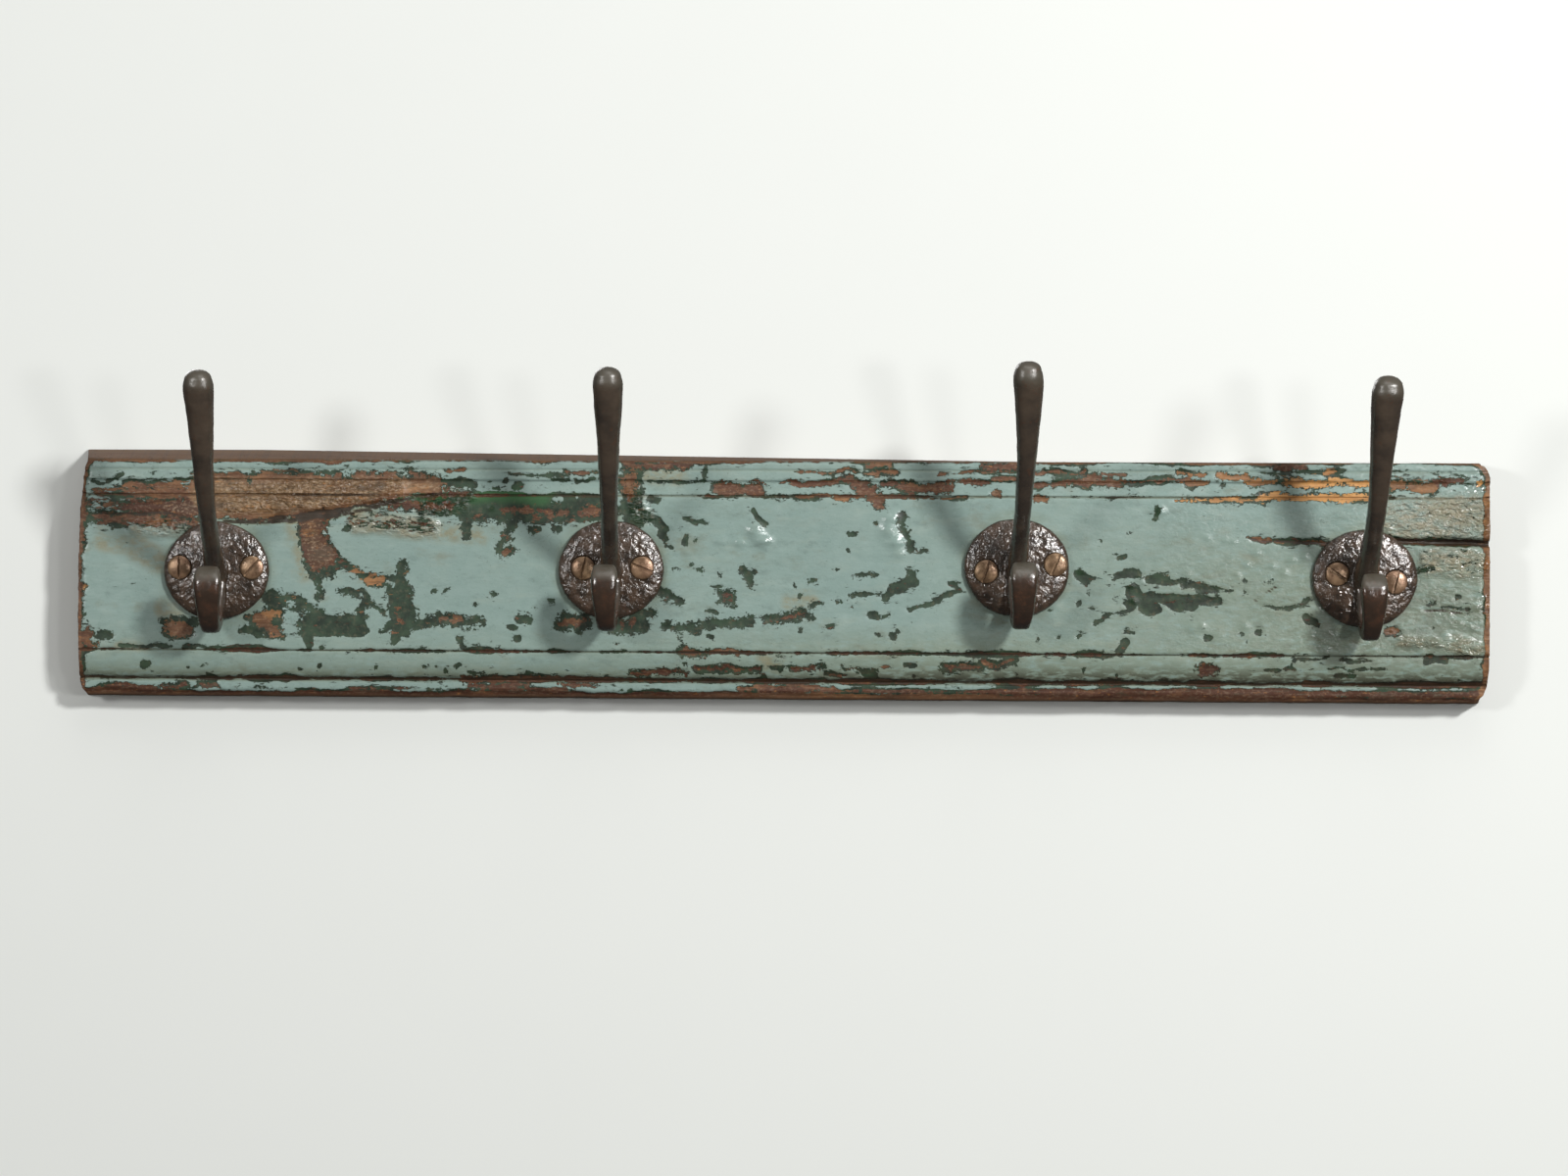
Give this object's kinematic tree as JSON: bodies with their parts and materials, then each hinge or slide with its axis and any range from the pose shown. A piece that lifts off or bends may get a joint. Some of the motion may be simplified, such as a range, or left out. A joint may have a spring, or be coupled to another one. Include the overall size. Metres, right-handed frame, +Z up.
{
  "type": "wall hook rack",
  "caption": "Reclaimed moulded plank in chipped teal paint with cast iron hat-and-coat hooks, hung on hidden keyhole plates.",
  "frame": {"origin": "middle of the plank's flat back, on the wall plane", "axes": "+X along the plank, to the right as seen from the room; +Y into the wall; +Z up"},
  "size_m": [0.617, 0.0983, 0.1438],
  "materials": {
    "plank_wood": "old gloss paint, chipped through a dark green coat to bare brown wood",
    "hook_iron": "brown patina under clear lacquer, pitted",
    "screw_brass": "tarnished slotted heads",
    "hanger_steel": "zinc plated, satin"
  },
  "bodies": {
    "root": {"plank": "plank_wood", "hook_casting_1": "hook_iron", "hook_casting_2": "hook_iron", "hook_casting_3": "hook_iron", "hook_casting_4": "hook_iron", "hook_screw_1_left": "screw_brass", "hook_screw_1_right": "screw_brass", "hook_screw_2_left": "screw_brass", "hook_screw_2_right": "screw_brass", "hook_screw_3_left": "screw_brass", "hook_screw_3_right": "screw_brass", "hook_screw_4_left": "screw_brass", "hook_screw_4_right": "screw_brass", "hanger_plate_left": "hanger_steel", "hanger_plate_right": "hanger_steel", "hanger_screw_left_outer": "hanger_steel", "hanger_screw_left_inner": "hanger_steel", "hanger_screw_right_outer": "hanger_steel", "hanger_screw_right_inner": "hanger_steel"}
  },
  "joints": []
}
